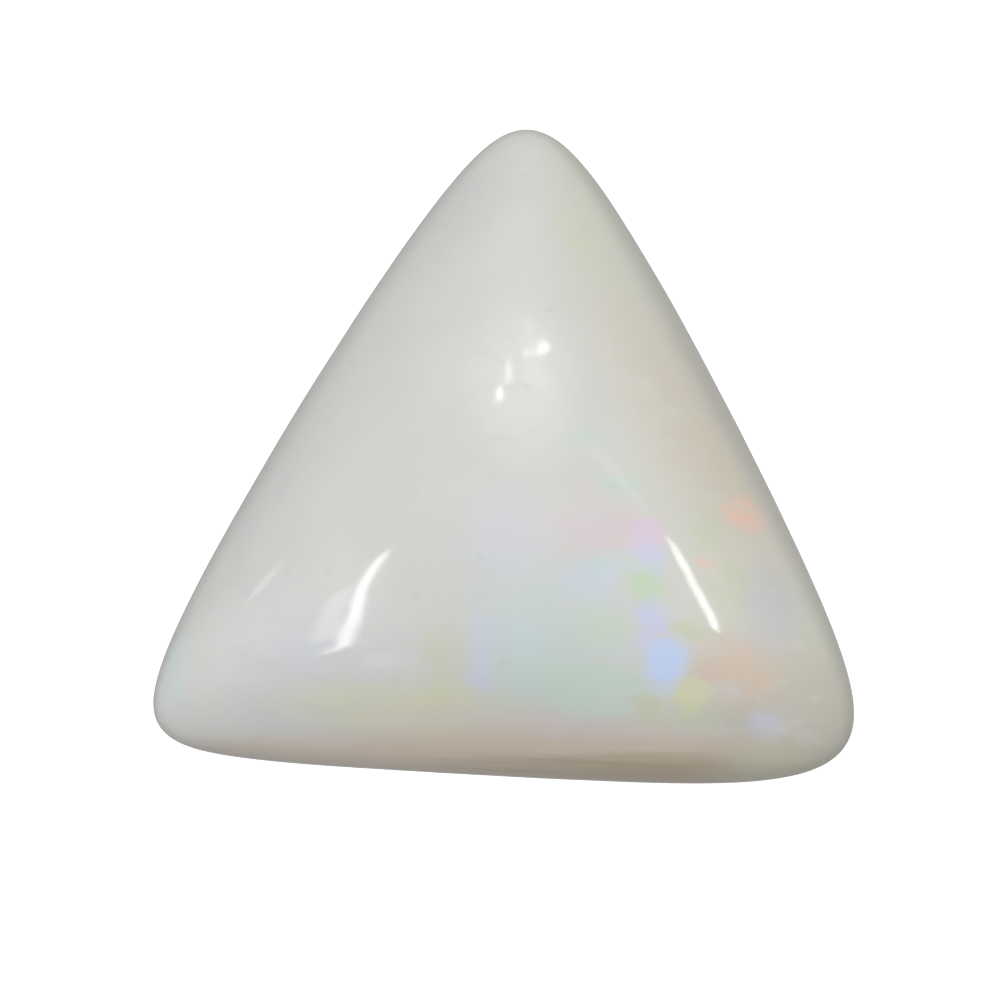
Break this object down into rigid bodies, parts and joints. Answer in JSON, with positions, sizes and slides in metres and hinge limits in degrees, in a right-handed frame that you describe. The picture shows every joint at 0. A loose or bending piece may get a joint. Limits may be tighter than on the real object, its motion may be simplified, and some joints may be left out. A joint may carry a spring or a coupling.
{
  "type": "polished opal cabochon",
  "caption": "Milky opal cut as a rounded triangle with a high polished dome and a flat back, a loose gemstone.",
  "frame": {"origin": "in the plane of the flat back, at the middle of the stone's bounding box", "axes": "+Z out of the dome, +Y towards the narrowest corner, +X along the broad side"},
  "size_m": [0.0148, 0.0142, 0.006],
  "materials": {
    "opal": "polished"
  },
  "bodies": {
    "root": {"opal": "opal"}
  },
  "joints": []
}
